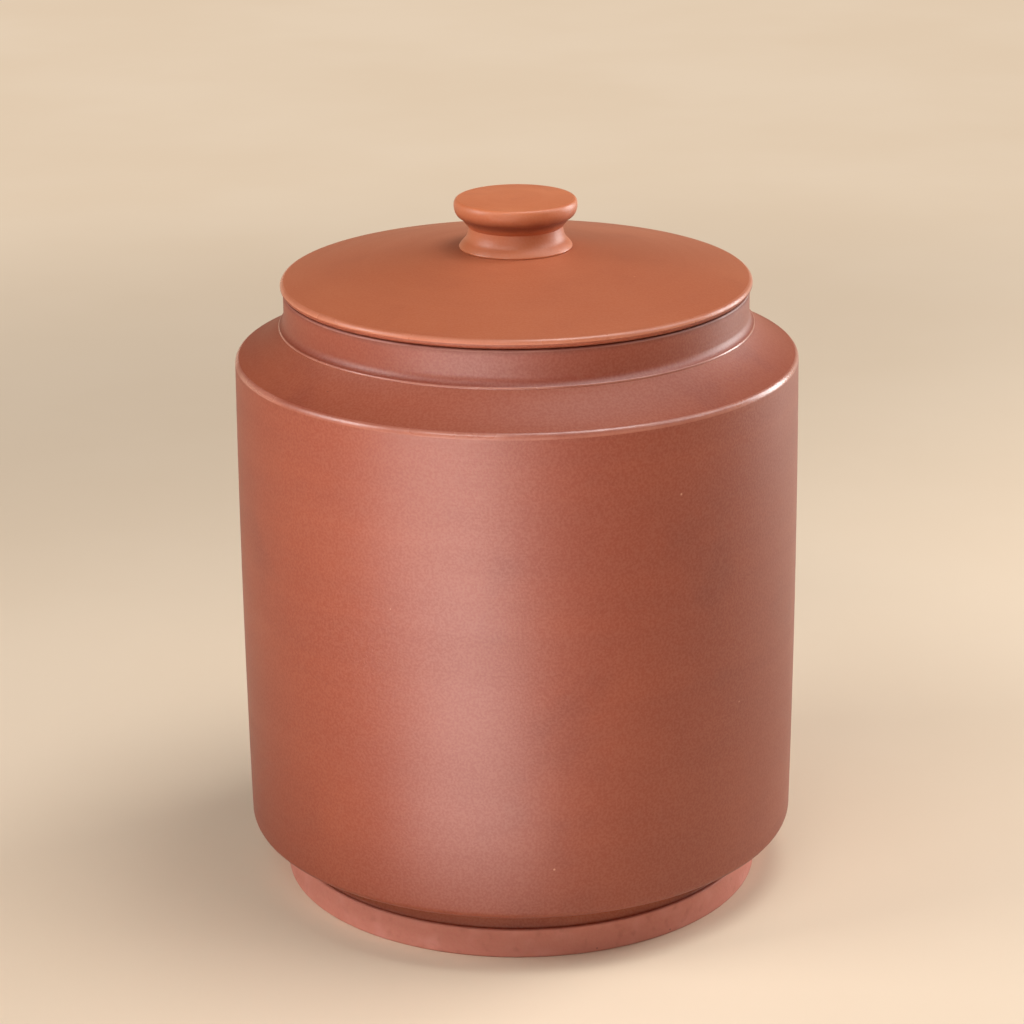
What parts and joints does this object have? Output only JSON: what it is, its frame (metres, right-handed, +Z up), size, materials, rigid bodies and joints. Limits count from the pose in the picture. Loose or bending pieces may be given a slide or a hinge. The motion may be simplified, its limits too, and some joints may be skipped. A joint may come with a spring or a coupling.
{
  "type": "tea storage jar",
  "caption": "Straight-sided red clay tea jar on a stepped foot, with a hollow-swept shoulder, a short neck and a loose domed lid lifted by a turned knob.",
  "frame": {"origin": "middle of the foot ring's underside, on the surface that the jar stands on", "axes": "+Z up along the jar's axis, through the knob; +X and +Y are alike, because the jar is turned"},
  "size_m": [0.2596, 0.2596, 0.325],
  "materials": {
    "burnished_clay": "unglazed red clay, burnished to a satin",
    "lid_clay": "unglazed red clay, burnished to a satin",
    "raw_clay": "unglazed red clay, left raw and matt"
  },
  "bodies": {
    "jar": {"foot_ring": "raw_clay", "base_plate": "burnished_clay", "body_wall": "burnished_clay", "shoulder_ring": "burnished_clay", "neck_collar": "burnished_clay"},
    "lid": {"lid_plate": "lid_clay", "lid_flange": "lid_clay", "lid_knob": "lid_clay"}
  },
  "joints": [
    {"name": "lid_lift", "type": "slide", "parent": "jar", "child": "lid", "axis": [0, 0, 1], "range_m": [0, 0.12]}
  ]
}
